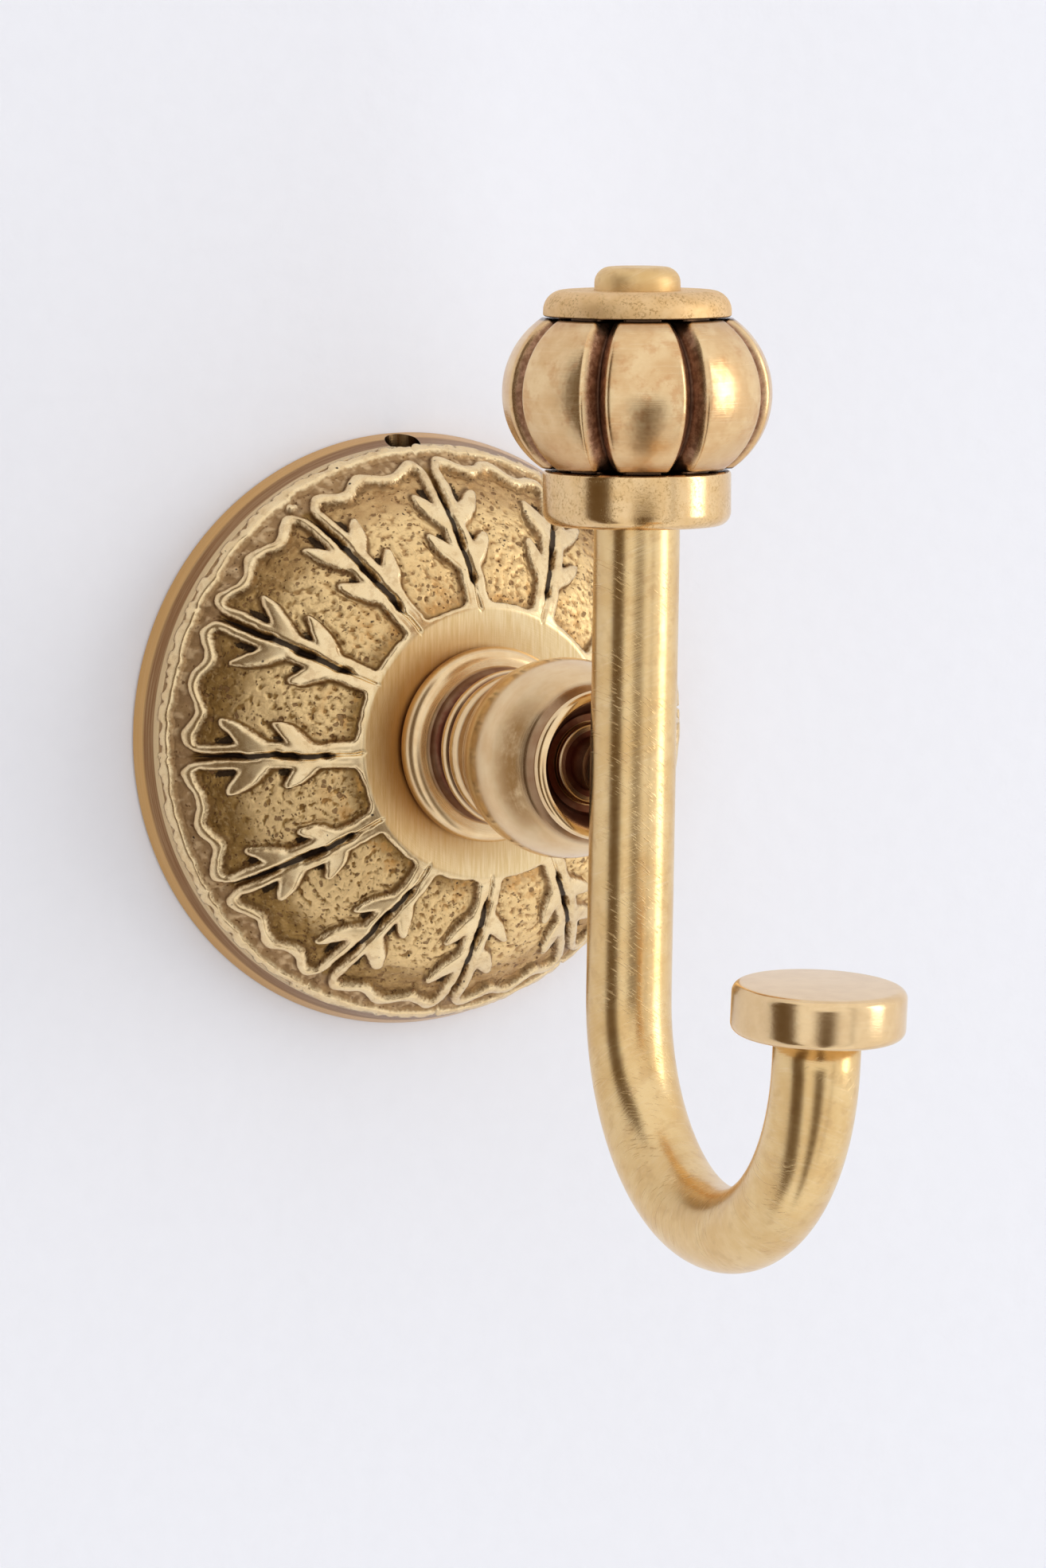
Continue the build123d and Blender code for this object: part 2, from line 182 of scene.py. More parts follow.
def zinc_roughness(tree):
    return 0.3 + 0.2 * noise(tree, place(tree), 1.2, 2)


def zinc_relief(tree):
    return noise(tree, place(tree), 6, 2)


zinc = finish_of("zinc plated steel", zinc_colour, zinc_roughness, zinc_relief, 0.02 * mm)


def oiled_colour(tree):
    clouds = noise(tree, place(tree), 0.9, 3)
    return blend(tree, clouds.rise(0.3, 0.7), (0.2, 0.18, 0.16), (0.42, 0.39, 0.35))


def oiled_roughness(tree):
    return 0.25 + 0.25 * noise(tree, place(tree), 2, 2)


oiled = finish_of("oiled steel", oiled_colour, oiled_roughness, zinc_relief, 0.02 * mm)

for node, material in (
    ("wall_plate", zinc),
    ("tie_washer", zinc),
    ("tie_screw", zinc),
    ("grub_screw", oiled),
):
    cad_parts[node].data.materials.clear()
    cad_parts[node].data.materials.append(material)

# Rosette: a hollow dome cast in brass, turned on its rim and on the flat ring
# round the post, its twelve petals cut by hand, then aged brown and rubbed
# bright again on all that stands up. It slips over the wall plate, and the
# grub screw in its rim holds it there. Painted shade darkens the left of the
# petals' ground, the flat ring by the post and the screw's hole.
rosette_r = 34.75
rim_side, rim_draft = 1.8, 0.5
bevel_end, lip_r = 3.5, 33.45
rim_inner_r = 30.75
dome_rise, dome_crown, dome_wall = 21.0, 24.95, 2.4
dome_r = (lip_r**2 + dome_rise**2) / (2 * dome_rise)
dome_sink = dome_r - dome_crown
inner_dome_r = dome_r - dome_wall
boss_depth, floor_depth, bore_r = 22.5, 18.5, 3.2
grub_depth, grub_hole_r, grub_hole_l, ornament_turn = 2.6, 2.05, 8.0, 2.5
post_seat_r, flat_r, dome_start_r = 11.0, 13.0, 13.4
ornament_columns, ornament_rows = 720, 112
rim_edge = 0.12


def ball_depth(radius, ball):
    return sqrt(ball**2 - radius**2) - dome_sink


def bow(start, middle, end, steps):
    """Points of the arc through three points, without its first one."""
    (ax, ay), (bx, by), (cx, cy) = start, middle, end
    d = 2 * (ax * (by - cy) + bx * (cy - ay) + cx * (ay - by))
    a2, b2, c2 = ax * ax + ay * ay, bx * bx + by * by, cx * cx + cy * cy
    ox = (a2 * (by - cy) + b2 * (cy - ay) + c2 * (ay - by)) / d
    oy = (a2 * (cx - bx) + b2 * (ax - cx) + c2 * (bx - ax)) / d
    first, second, last = (atan2(y - oy, x - ox) for x, y in (start, middle, end))
    turn = (last - first) % (2 * pi)
    if (second - first) % (2 * pi) > turn:
        turn -= 2 * pi
    r = hypot(ax - ox, ay - oy)
    angles = [first + turn * i / steps for i in range(1, steps + 1)]
    return [(ox + r * cos(a), oy + r * sin(a)) for a in angles]


def turned(name, outline, about, columns, crease=35):
    """A closed outline of (along, radius) in millimetres, turned about the x axis of a place."""
    mesh = bpy.data.meshes.new(name)
    shape = bmesh.new()
    rings = []
    for along, radius in outline:
        if radius < 1e-6:
            rings.append([shape.verts.new((along * mm, 0, 0))])
        else:
            angles = [2 * pi * i / columns for i in range(columns)]
            rings.append(
                [
                    shape.verts.new((along * mm, radius * mm * cos(a), radius * mm * sin(a)))
                    for a in angles
                ]
            )
    closed = len(rings[0]) > 1
    pairs = list(zip(rings, rings[1:])) + ([(rings[-1], rings[0])] if closed else [])
    for low, high in pairs:
        for i in range(columns):
            j = (i + 1) % columns
            corners = [low[i % len(low)], low[j % len(low)], high[j % len(high)], high[i % len(high)]]
            corners = list(dict.fromkeys(corners))
            if len(corners) > 2:
                shape.faces.new(corners)
    shape.transform(about)
    bmesh.ops.recalc_face_normals(shape, faces=shape.faces)
    if shape.calc_volume(signed=True) < 0:
        bmesh.ops.reverse_faces(shape, faces=shape.faces)
    for face in shape.faces:
        face.smooth = True
    for edge in shape.edges:
        if edge.calc_face_angle(0) > radians(crease):
            edge.smooth = False
    shape.to_mesh(mesh)
    shape.free()
    piece = bpy.data.objects.new(name, mesh)
    bpy.context.scene.collection.objects.link(piece)
    return piece


def shaped(piece, tree, sizes, material):
    """The piece after a geometry tree with those sizes, as a plain mesh."""
    modifier = piece.modifiers.new("shape", "NODES")
    modifier.node_group = tree
    for item in tree.interface.items_tree:
        if item.in_out == "INPUT" and item.name in sizes:
            modifier[item.identifier] = sizes[item.name]
        if item.in_out == "INPUT" and item.name == "Material":
            modifier[item.identifier] = material
    seen = piece.evaluated_get(bpy.context.evaluated_depsgraph_get())
    mesh = bpy.data.meshes.new_from_object(seen)
    piece.modifiers.remove(modifier)
    piece.data = mesh
    return piece


def begin_tree(name, sizes):
    """A geometry tree with named sizes: the tree and its inputs by name."""
    tree = bpy.data.node_groups.new(name, "GeometryNodeTree")
    tree.interface.new_socket("Geometry", in_out="INPUT", socket_type="NodeSocketGeometry")
    for size in sizes:
        tree.interface.new_socket(size, in_out="INPUT", socket_type="NodeSocketFloat")
    tree.interface.new_socket("Material", in_out="INPUT", socket_type="NodeSocketMaterial")
    tree.interface.new_socket("Geometry", in_out="OUTPUT", socket_type="NodeSocketGeometry")
    entry = tree.nodes.new("NodeGroupInput")
    return tree, {s.name: Amount(tree, s) for s in entry.outputs if s.name}


def end_tree(tree, geometry, material):
    geometry = make(tree, "GeometryNodeRealizeInstances", {}, {"Geometry": geometry})
    values = {"Geometry": geometry, "Material": material}
    geometry = make(tree, "GeometryNodeSetMaterial", {}, values)
    leave = tree.nodes.new("NodeGroupOutput")
    tree.links.new(geometry.socket, leave.inputs[0])


def keep(tree, geometry, name, value):
    """Stores a value at each point under a name, for the material."""
    settings = {"data_type": "FLOAT", "domain": "POINT"}
    values = {"Geometry": geometry, "Name": name, "Value": value}
    return make(tree, "GeometryNodeStoreNamedAttribute", settings, values)


# This tree raises the petals, their barbs and the ring along the rim on the
# smooth turned dome, sinks the veins, and drills the grub screw's hole.
petal_start_r, petal_foot_r = 15.0, 15.95
outer_root, inner_root = 25.3, 20.7
bead_at, bead_r = (-17.6, -7.0, 26.5), 0.75
petal_sizes = {
    "Petals": 12.0,
    "Turn": ornament_turn,
    "Relief": 0.85,
    "Hem radius": 31.3,
    "Hem wave": 0.42,
    "Hem crest": 11.1,
    "Stem width": 1.3,
    "Vein gap": 0.55,
    "Groove depth": 0.45,
    "Ring radius": 32.7,
    "Ring height": 0.6,
    "Plateau radius": 15.3,
    "Hole radius": grub_hole_r,
}
tree, given = begin_tree("cut petals", petal_sizes)
spot = make(tree, "GeometryNodeInputPosition", {}, {}).scaled(1 / mm)
true_x, true_y, true_z = spot.parts()
flat = vector(tree, true_x, 0.0, true_z)


def wander(scale, reach):
    """Two uneven shifts, as a hand makes them."""
    shifts = noise(tree, flat, scale, 1, 0.5, 1).parts()
    return [(shift - 0.5) * (2 * reach) for shift in shifts[:2]]


slow, quick, fine = wander(0.14, 0.55), wander(0.5, 0.24), wander(1.3, 0.1)
x = true_x + slow[0] + quick[0] + fine[0]
z = true_z + slow[1] + quick[1] + fine[1]
radius = (x * x + z * z).root()
true_radius = (true_x * true_x + true_z * true_z).root()
bearing = z.maths("ARCTAN2", x) * (180 / pi) - given["Turn"]
petals_per_degree = given["Petals"] / 360
vein = (bearing * petals_per_degree).maths("ROUND")
off_vein = (bearing - vein / petals_per_degree) * (pi / 180)
along = radius * off_vein.cosine()
across = radius * off_vein.sine()
beside = abs(across)
lot = vein + across.maths("SIGN") * 0.31


def chance(number):
    """A number from 0 to 1 of each vein's side, always the same."""
    settings = {"noise_dimensions": "1D"}
    return make(tree, "ShaderNodeTexWhiteNoise", settings, {"W": lot + number})


petal_place = bearing * petals_per_degree
off_middle = (petal_place - petal_place.maths("FLOOR") - 0.5) / petals_per_degree
hem = given["Hem radius"] + (off_middle / given["Hem crest"] * (2 * pi)).cosine() * given["Hem wave"]
gap_half = given["Vein gap"] * 0.5


def corner(first, second, round_r):
    """Distance inside two edges that meet in a rounded corner."""
    a = (round_r - first).most(0.0)
    b = (round_r - second).most(0.0)
    return round_r - (a * a + b * b).root() + (first.least(second) - round_r).most(0.0)


inside_frame = corner(beside - gap_half, (hem - radius) * 1.15, 1.6)
half_stem = given["Stem width"] * 0.5
frame_ridge = (half_stem - abs(inside_frame - half_stem)).least(radius - petal_start_r)


def barb(root, half, reach, lean, curl, number):
    """How far a point lies inside a leaf-like barb that grows from the stem and curls outwards."""
    root = root + (chance(number) - 0.5) * 0.6
    reach = reach * (chance(number + 1) * 0.3 + 0.86)
    out = (beside - 0.7).most(0.0)
    middle = root + (lean + (chance(number + 2) - 0.5) * 0.25) * out + curl * out * out
    wide = half * (1 - (out / reach).least(1.0) ** 4.0).root()
    return (wide - abs(along - middle)) * 0.8 - (out - reach).most(0.0)


def pocket(root, long, number):
    """How far a point lies inside the deep pocket between a barb's outer side and the stem."""
    off = (along - root - 1.15 - long - 0.5 * (beside - 1.3)) / (long * (0.7 + 0.5 * chance(number)))
    side = (beside - 1.85) / 0.72
    return 1 - (off * off + side * side).root() + (noise(tree, flat, 1.2, 2) - 0.5) * 1.2


outer = barb(outer_root, half=1.35, reach=3.5, lean=0.58, curl=0.06, number=3)
inner = barb(inner_root, half=1.4, reach=3.0, lean=0.66, curl=0.06, number=7)
closed_stem = ((18.8 - radius) * 0.5).least(0.95 - beside)
base = (petal_foot_r + 1.3 * (1 - beside / 2.3).most(0.0) ** 1.6 - radius) * 1.8
bead = bead_r - make(
    tree, "ShaderNodeVectorMath", {"operation": "DISTANCE"}, {0: spot, 1: bead_at}
)
ridges = frame_ridge.melt(outer, 0.5).melt(inner, 0.5).melt(closed_stem, 0.4).melt(base, 0.6)
ridges = ridges.most(bead)
pockets = pocket(outer_root, long=1.35, number=11).most(pocket(inner_root, long=1.05, number=13))
deep = pockets.rise(0.0, 0.5) * ridges.rise(0.1, -0.15)

arc_out = (true_radius / dome_r).least(0.999).maths("ARCSINE") * dome_r
ring_arc = (given["Ring radius"] / dome_r).maths("ARCSINE") * dome_r
off_ring = arc_out - ring_arc + (noise(tree, flat, 0.4, 2) - 0.5) * 1.5
patches = (noise(tree, flat, 0.7, 2) - 0.42).most(0.0) * 5 * off_ring.rise(0.0, 0.4)
ring = 0.75 + patches - abs(off_ring)


def backed(inside, half):
    """Height of a ridge with a full, round back: 0 outside it and 1 over its middle."""
    share = (inside / half).most(0.0).least(1.0)
    return inside.rise(-0.12, 0.3) * 0.4 + (share * (2 - share)).root() * 0.6


petal_high = backed(ridges, 0.65) * given["Relief"]
ring_high = backed(ring, 0.72) * given["Ring height"]
taper = radius.rise(17.3, 20.0) * radius.rise(31.8, 27.0)
uneven_gap = given["Vein gap"] * (0.3 + 0.4 * noise(tree, flat, 0.6, 2)) * taper
vein_cut = uneven_gap - beside
in_petal = inside_frame.rise(0.9, 1.3) * radius.rise(15.8, 16.6)
hill = (1 - abs(radius - 22.8) / 5.6).most(0.0)
pillow = in_petal * hill * ridges.rise(-0.1, -1.6) * 0.34
dents = noise(tree, vector(tree, bearing * 0.3, 0.0, radius * 1.25), 1.35, 3, 0.6) - 0.5
lumps = noise(tree, flat, 1.1, 2) - 0.5
height = petal_high.most(ring_high) + pillow
height = height + (dents.least(0.0) * 1.5 + dents * 0.3) * in_petal * ridges.rise(0.1, -0.3)
outer_band = (radius - hem).rise(0.0, 0.4) * ring.rise(0.2, -0.2)
height = height + lumps * 0.7 * outer_band
height = height - vein_cut.rise(-0.3, 0.05) * given["Groove depth"] - deep * 0.3
centre = (0.0, dome_sink, 0.0)
from_centre = make(tree, "ShaderNodeVectorMath", {"operation": "SUBTRACT"}, {0: spot, 1: centre})
reach = make(tree, "ShaderNodeVectorMath", {"operation": "LENGTH"}, {0: from_centre})
on_dome = abs(reach - dome_r).rise(0.05, 0.02) * (true_y * -1).rise(0.5, 1.0)
on_dome = on_dome * true_radius.rise(lip_r - 0.02, lip_r - 0.3)
outward = make(tree, "ShaderNodeVectorMath", {"operation": "NORMALIZE"}, {0: from_centre})
moved = spot.moved(outward.scaled(height * on_dome))
moved_x, moved_y, moved_z = moved.parts()
plateau = (given["Plateau radius"] - true_radius + quick[0] * 0.5).rise(-0.25, 0.2) * on_dome
moved_y = moved_y + (moved_y * -1 - boss_depth) * plateau
shape = given["Geometry"]
for name, value in (
    ("ridge", ridges.least(1.0).most(-1.0)),
    ("ring", ring.least(1.0).most(-1.0)),
    ("across", across),
    ("gap", uneven_gap),
    ("deep", deep),
    ("petal", in_petal),
    ("plateau", plateau),
    ("dome", on_dome),
    ("dents", dents),
    ("lumps", lumps * outer_band),
):
    shape = keep(tree, shape, name, value)
moved = vector(tree, moved_x, moved_y, moved_z).scaled(mm)
shape = make(tree, "GeometryNodeSetPosition", {}, {"Geometry": shape, "Position": moved})
drill = make(
    tree,
    "GeometryNodeMeshCylinder",
    {},
    {"Vertices": 48, "Radius": given["Hole radius"] * mm, "Depth": grub_hole_l * mm},
)
hole_up = Vector((-sin(radians(ornament_turn)), 0, cos(radians(ornament_turn))))
hole_at = hole_up * (rosette_r - 1.0) + Vector((0, -grub_depth, 0))
drill = make(
    tree,
    "GeometryNodeTransform",
    {},
    {
        "Geometry": drill,
        "Translation": tuple(hole_at * mm),
        "Rotation": (0.0, -radians(ornament_turn), 0.0),
    },
)
settings = {"operation": "DIFFERENCE", "solver": "MANIFOLD"}
shape = make(tree, "GeometryNodeMeshBoolean", settings, {"Mesh 1": shape, "Mesh 2": drill})
fold = make(tree, "GeometryNodeInputMeshEdgeAngle", {}, {})
by_hole = make(
    tree,
    "ShaderNodeVectorMath",
    {"operation": "DISTANCE"},
    {0: make(tree, "GeometryNodeInputPosition", {}, {}), 1: tuple(hole_at * mm)},
)
sharp = fold.rise(0.5, 0.6) * by_hole.rise(3.3 * mm, 3.2 * mm)
shape = make(
    tree,
    "GeometryNodeSetShadeSmooth",
    {"domain": "EDGE"},
    {"Geometry": shape, "Selection": sharp, "Shade Smooth": False},
)
end_tree(tree, shape, given["Material"])


def held(tree, name):
    """A value that the geometry tree stored at each point."""
    return make(tree, "ShaderNodeAttribute", {"attribute_name": name}, {}, 2)


def round_axis(tree):
    """Distance from the post's axis, direction round it, and distance from the wall."""
    x, y, z = place(tree).parts()
    radius = (x * x + z * z).root()
    return radius, x / radius.most(0.01), z / radius.most(0.01), y * -1


def turning_lines(tree, fineness, drawn_out):
    """Fine lines round the post's axis, as a turning tool and a brush leave them."""
    radius, east, up, depth = round_axis(tree)
    at = vector(tree, radius * fineness, depth * fineness, east * drawn_out)
    return noise(tree, at.moved(vector(tree, up * drawn_out, 0.0, 0.0)), 1.0, 3, 0.7)


def pits(tree, scale, least, most):
    """Small uneven pits left by casting, of sizes between two."""
    at = place(tree)
    at = at.moved(noise(tree, at, scale * 1.5, 1, 0.5, 1).scaled(0.5 / scale))
    near = make(tree, "ShaderNodeTexVoronoi", {}, {"Vector": at, "Scale": scale})
    size = noise(tree, at, scale * 0.7, 1).rise(0.4, 0.75) * (most - least) + least
    return (size - near).rise(-0.05, 0.07)


def rubbed_bright(tree):
    """1 on the ridges and the ring along the rim, with an uneven edge."""
    uneven = (noise(tree, place(tree), 2.5, 2) - 0.5) * 0.35
    return (held(tree, "ridge").most(held(tree, "ring")) + uneven).rise(0.0, 0.32)


def dark_cuts(tree):
    """1 in the veins' grooves and in the pockets behind the barbs."""
    grains = noise(tree, place(tree), 3.2, 3, 0.65) - 0.5
    gap = held(tree, "gap")
    vein = gap - abs(held(tree, "across")) + grains * 0.12
    deep = held(tree, "deep")
    deep = (deep + grains * deep.rise(0.0, 0.3) * 1.3).rise(0.35, 0.7) * 0.9
    return (vein.rise(-0.08, 0.04) * gap.rise(0.0, 0.06)).most(deep)


def flat_ring(tree):
    """1 on the flat ring round the post."""
    return held(tree, "plateau").most(round_axis(tree)[0].rise(14.6, 14.2))


def cast_colour(tree):
    at = place(tree)
    radius, east, up, depth = round_axis(tree)
    petal, dome = held(tree, "petal"), held(tree, "dome")
    ridge = held(tree, "ridge")
    clouds = noise(tree, at, 0.5, 4, 0.6)
    streaks = noise(tree, at, 1.7, 3, 0.65)
    brown = blend(tree, clouds.rise(0.3, 0.7), (0.2, 0.1, 0.02), (0.4, 0.235, 0.07))
    lit_side = blend(tree, clouds.rise(0.3, 0.7), (0.46, 0.26, 0.1), (0.66, 0.43, 0.19))
    # painted shade: the petals' ground is brown on the left and low side, away from the window lamp,
    # and lighter on the lit side
    ground = blend(tree, (east + up * 0.3).rise(-1.0, 0.1) * petal, brown, lit_side)
    middle = radius.rise(16.2, 18.5) * (radius + clouds * 3).rise(30.0, 27.5)
    tan_hill = (held(tree, "dents") + 0.05).rise(-0.06, 0.05) * petal * middle
    tan_hill = tan_hill * ridge.rise(-0.1, -0.45)
    ground = blend(tree, tan_hill * 0.95, ground, (0.91, 0.65, 0.31))
    ground = blend(tree, streaks.rise(0.5, 0.75) * 0.5, ground, (0.66, 0.45, 0.21))
    clustered = clouds.rise(0.38, 0.55) * 0.75 + 0.25
    hollow = held(tree, "dents").rise(-0.08, -0.16) * petal * middle * clustered
    ground = blend(tree, hollow * 0.6, ground, (0.3, 0.145, 0.05))
    orange = radius.rise(22.5, 17.5) * clouds.rise(0.5, 0.62) * petal * 0.55
    ground = blend(tree, orange, ground, (0.62, 0.31, 0.08))
    band = radius.rise(30.6, 31.2) * (1 - petal)
    ground = blend(tree, band * 0.7, ground, (0.42, 0.26, 0.13))
    rubbed_lump = held(tree, "lumps").rise(-0.02, 0.14) * 0.8
    ground = blend(tree, rubbed_lump, ground, (0.72, 0.51, 0.28))
    by_ridge = ridge.rise(-0.55, -0.05) * clouds.rise(0.25, 0.6) * 0.75
    ground = blend(tree, by_ridge, ground, (0.13, 0.062, 0.022))
    large_pits = pits(tree, 1.1, 0.0, 0.42) * 0.8 * petal
    ground = blend(tree, large_pits, ground, (0.21, 0.105, 0.042))
    small_pits = pits(tree, 1.9, 0.06, 0.42) * 0.8 * dome * clustered
    ground = blend(tree, small_pits, ground, (0.13, 0.055, 0.02))
    light = blend(tree, clouds.rise(0.3, 0.75), (0.89, 0.69, 0.4), (0.82, 0.6, 0.32))
    light = blend(tree, noise(tree, at, 0.9, 3, 0.6).rise(0.5, 0.66) * 0.5, light, (0.6, 0.4, 0.2))
    colour = blend(tree, rubbed_bright(tree), ground, light)
    colour = blend(tree, dark_cuts(tree) * 0.95, colour, (0.03, 0.018, 0.014))
    colour = blend(tree, pits(tree, 0.62, 0.0, 0.13) * dome, colour, (0.03, 0.02, 0.018))
    strokes = noise(tree, vector(tree, east * radius * 3.5, 0.0, up * radius * 0.25), 1.0, 3, 0.6)
    turned_ring = blend(tree, strokes.rise(0.3, 0.7), (0.72, 0.52, 0.25), (0.84, 0.66, 0.39))
    # painted shade: the flat ring is browner next to the post, most on its left, where the post
    # shades it
    post_shade = radius.rise(15.6, 11.3) * (0.5 - east * 0.4)
    turned_ring = blend(tree, post_shade, turned_ring, (0.4, 0.19, 0.045))
    colour = blend(tree, flat_ring(tree), colour, turned_ring)
    bevel = depth.rise(rim_side - 0.2, rim_side + 0.3) * radius.rise(30.0, 31.0)
    rim = blend(tree, bevel, (0.68, 0.4, 0.15), (0.28, 0.14, 0.06))
    rim = blend(tree, depth.rise(bevel_end - 0.3, bevel_end - 0.1), rim, (0.74, 0.55, 0.3))
    rim = blend(tree, turning_lines(tree, 5, 4).rise(0.35, 0.75) * 0.3, rim, (0.78, 0.56, 0.3))
    front = blend(tree, radius.rise(16.0, 17.0), turned_ring, rim)
    colour = blend(tree, (1 - dome).rise(0.4, 0.6), colour, front)
    x, _, z = at.parts()
    off_hole = x + z * tan(radians(ornament_turn))
    off_hole = (off_hole * off_hole + (depth - grub_depth) ** 2).root()
    # painted shade: the walls of the grub screw's hole are painted near black
    hole_shade = off_hole.rise(grub_hole_r + 0.08, grub_hole_r + 0.02) * z.rise(25.0, 26.0)
    return blend(tree, hole_shade * 0.9, colour, (0.08, 0.045, 0.02))


def cast_roughness(tree):
    rubbed = rubbed_bright(tree)
    radius = round_axis(tree)[0]
    cast = 0.46 - 0.2 * rubbed + 0.25 * dark_cuts(tree)
    turned_part = radius.rise(17.0, 16.0) * 0.14 + 0.2
    flat_part = flat_ring(tree).most(1 - held(tree, "dome"))
    rough = cast * (1 - flat_part) + turned_part * flat_part
    return rough + 0.1 * (noise(tree, place(tree), 2.2, 2) - 0.5)


def cast_relief(tree):
    at = place(tree)
    dome = held(tree, "dome") * (1 - flat_ring(tree))
    grain = noise(tree, at, 1.5, 4, 0.65) * (1 - rubbed_bright(tree))
    holes = pits(tree, 1.1, 0.0, 0.46).most(pits(tree, 1.9, 0.06, 0.42) * 0.7) * held(tree, "petal")
    cast = (grain * 0.8 - holes * (1 - rubbed_bright(tree)) * 0.7) * dome
    return cast + turning_lines(tree, 9, 5) * (1 - dome) * 0.1


cast_brass = finish_of("cast brass", cast_colour, cast_roughness, cast_relief, 0.16 * mm)

inner_start = (ball_depth(rim_inner_r, inner_dome_r), rim_inner_r)
floor_r = sqrt(inner_dome_r**2 - (floor_depth + dome_sink) ** 2)
first_angle, last_angle = asin(dome_start_r / dome_r), asin(lip_r / dome_r)
outline = [(floor_depth, bore_r), (boss_depth, bore_r)]
outline += [(boss_depth, post_seat_r), (boss_depth, flat_r)]
for i in range(ornament_rows + 1):
    lean = first_angle + (last_angle - first_angle) * i / ornament_rows
    outline.append((dome_r * cos(lean) - dome_sink, dome_r * sin(lean)))
outline += [
    (bevel_end + rim_edge, lip_r + 0.02),
    (bevel_end - rim_edge, lip_r + 0.06),
    (rim_side + rim_edge, rosette_r - rim_draft - 0.06),
    (rim_side - rim_edge, rosette_r - rim_draft + 0.03),
    (0.15, rosette_r - 0.03),
    (0.0, rosette_r - 0.15),
    (0.0, rim_inner_r),
    inner_start,
]
middle_r = (rim_inner_r + floor_r) / 2
outline += bow(
    inner_start, (ball_depth(middle_r, inner_dome_r), middle_r), (floor_depth, floor_r), 6
)
into_room = Matrix(((0, 1, 0, 0), (-1, 0, 0, 0), (0, 0, 1, 0), (0, 0, 0, 1)))
rosette = turned("cast_rosette", outline, into_room, ornament_columns)
shaped(rosette, tree, petal_sizes, cast_brass)
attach(rosette, "root")
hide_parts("rosette")

# Post: flange, cove, two fine rings, a ball and a cupped lip, turned in one
# piece from brass bar, brushed round and left brown in its hollows and behind
# its lip; the brown band on the ball beside the lip is a painted reflection.
# Its neck is brazed into the rod, and the tie screw holds it behind.
flange_r = 11.3
flange_bead_r = 1.85
flange_mid = 23.7
cove_start, cove_end = 26.2, 28.6
cove_edge_r, cove_low_r = 9.0, 7.7
ring_r, ring_end = 9.05, 30.4
second_ring_r, second_ring_end = 8.85, 32.6
quirk = 0.35
ball_start, ball_mid, ball_end = 33.0, 43.0, 51.2
ball_r, ball_swell = 11.4, 14.3
lip_mid, post_lip_r, lip_bead_r = 52.7, 8.55, 0.95
cup_depth, cup_floor_r = 50.0, 5.9
neck_ring_r, neck_ring_h = 4.35, 0.9
neck_r, neck_flare_r = 3.2, 3.9
rod_back, into_rod = 55.45, 2.0
tie_hole_r, tie_hole_end = 3.05, 35.5

bead_low = flange_r - flange_bead_r
seat_r = bead_low + sqrt(flange_bead_r**2 - (flange_mid - boss_depth) ** 2)
drop = ball_swell - ball_r
ball_back_r = sqrt(ball_swell**2 - (ball_mid - ball_start) ** 2) - drop
ball_front_r = sqrt(ball_swell**2 - (ball_end - ball_mid) ** 2) - drop
lip_low = post_lip_r - lip_bead_r
bead_front = flange_mid + flange_bead_r
outline = [(tie_hole_end, 0.0), (tie_hole_end, tie_hole_r)]
outline += [(boss_depth, tie_hole_r), (boss_depth, seat_r)]
outline += bow(outline[-1], (flange_mid, flange_r), (bead_front, bead_low), 16)
outline += [(bead_front + 0.05, bead_low - 0.25), (cove_start - 0.05, cove_edge_r + 0.02)]
cove_mid = ((cove_start + cove_end) / 2, cove_low_r)
outline += [(cove_start, cove_edge_r)]
outline += bow(outline[-1], cove_mid, (cove_end, cove_edge_r - quirk), 12)
outline += bow(
    outline[-1], ((cove_end + ring_end) / 2, ring_r), (ring_end, cove_edge_r - quirk), 10
)
outline += bow(
    outline[-1],
    ((ring_end + second_ring_end) / 2, second_ring_r),
    (second_ring_end, second_ring_r - quirk),
    10,
)
outline += [(second_ring_end + 0.02, ball_back_r), (ball_start, ball_back_r)]
outline += bow(outline[-1], (ball_mid, ball_r), (ball_end, ball_front_r), 40)
outline += [(lip_mid - lip_bead_r, lip_low)]
outline += bow(outline[-1], (lip_mid, post_lip_r), (lip_mid + lip_bead_r, lip_low), 14)
outline += bow(
    outline[-1], (lip_mid - 0.3, lip_low - 0.7), (cup_depth + 0.25, cup_floor_r), 10
)
outline += [(cup_depth, cup_floor_r - 0.3), (cup_depth, neck_ring_r)]
ring_top = cup_depth + neck_ring_h
outline += bow(
    outline[-1],
    (cup_depth + neck_ring_h / 2, neck_ring_r + 0.35),
    (ring_top, neck_ring_r - 0.1),
    8,
)
outline += [(ring_top, neck_r)]
outline += bow(outline[-1], (ring_top + 2.6, neck_r + 0.12), (rod_back, neck_flare_r), 10)
outline += [(rod_back + into_rod, neck_flare_r), (rod_back + into_rod, 0.0)]
post = turned("turned_post", outline, into_room, 160)


def hollows(tree):
    """The post's foot, cove, quirks and cup, where the brown stays."""
    radius, _, _, depth = round_axis(tree)
    cove = depth.rise(cove_start - 1.0, cove_start + 0.4) * depth.rise(cove_end + 0.4, cove_end - 0.4)
    quirks = (1 - abs(depth - (second_ring_end + 0.2)) / 0.45).most(0.0)
    quirks = quirks.most((1 - abs(depth - ring_end) / 0.35).most(0.0))
    foot = depth.rise(boss_depth + 0.9, boss_depth)
    behind_lip = depth.rise(ball_end - 1.0, ball_end + 0.2) * depth.rise(lip_mid - 0.3, lip_mid - 1.1)
    cup = (lip_low - radius).rise(-0.1, 0.6) * depth.rise(cup_depth - 1.0, cup_depth)
    neck_ring = radius.rise(neck_ring_r - 0.55, neck_ring_r - 0.4)
    neck_ring = neck_ring * radius.rise(neck_ring_r + 0.55, neck_ring_r + 0.35)
    cup = cup * (1 - neck_ring * 0.8)
    return cove.most(quirks).most(foot).most(behind_lip * 0.7).most(cup)


